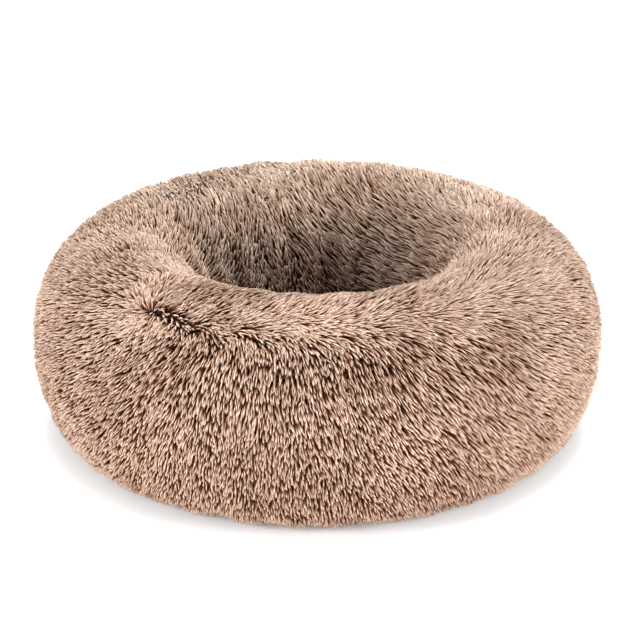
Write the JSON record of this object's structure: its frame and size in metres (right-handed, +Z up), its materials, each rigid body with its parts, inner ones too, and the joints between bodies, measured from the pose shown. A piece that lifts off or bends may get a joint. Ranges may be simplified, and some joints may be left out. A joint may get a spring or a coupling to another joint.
{
  "type": "donut pet bed",
  "caption": "Round plush pet bed: a thick padded ring in long pile round a sunken padded nest, on a non-slip base with a zip round its rear.",
  "frame": {"origin": "on the floor, under the centre of the bed", "axes": "+Z up, -Y towards the front of the bed, +X to the right seen from the front; the zip runs round the rear, +Y, half"},
  "size_m": [0.584, 0.584, 0.209],
  "materials": {
    "plush": "matte",
    "tape": "matte",
    "base_cloth": "matte",
    "non_woven": "matte",
    "fibre": "matte",
    "label_cloth": "satin",
    "nylon": "satin",
    "slider_metal": "satin"
  },
  "bodies": {
    "bed": {"front_plush_panel": "plush", "rear_plush_panel": "plush", "centre_plush_panel": "plush", "nest_seam_tape": "tape", "base_panel": "base_cloth", "base_seam_binding": "tape", "bolster_liner": "non_woven", "bolster_fill": "fibre", "pad_liner": "non_woven", "pad_fill": "fibre", "care_label": "label_cloth", "lower_zip_tape": "tape", "upper_zip_tape": "tape", "lower_zip_coil": "nylon", "upper_zip_coil": "nylon", "lower_zip_top_stop": "slider_metal", "upper_zip_top_stop": "slider_metal", "zip_bottom_stop": "slider_metal"},
    "slider": {"zip_slider": "slider_metal"},
    "pull_tab": {"zip_pull_tab": "slider_metal"}
  },
  "joints": [
    {"name": "zip_slider_travel", "type": "hinge", "parent": "bed", "child": "slider", "pos_m": [0, 0, 0.02493], "axis": [0, 0, 1], "range_deg": [0, 162.2]},
    {"name": "pull_tab_hinge", "type": "hinge", "parent": "slider", "child": "pull_tab", "pos_m": [0.25973, 0.04061, 0.02193], "axis": [0.5599, 0.0875, 0.824], "range_deg": [0, 165]}
  ]
}
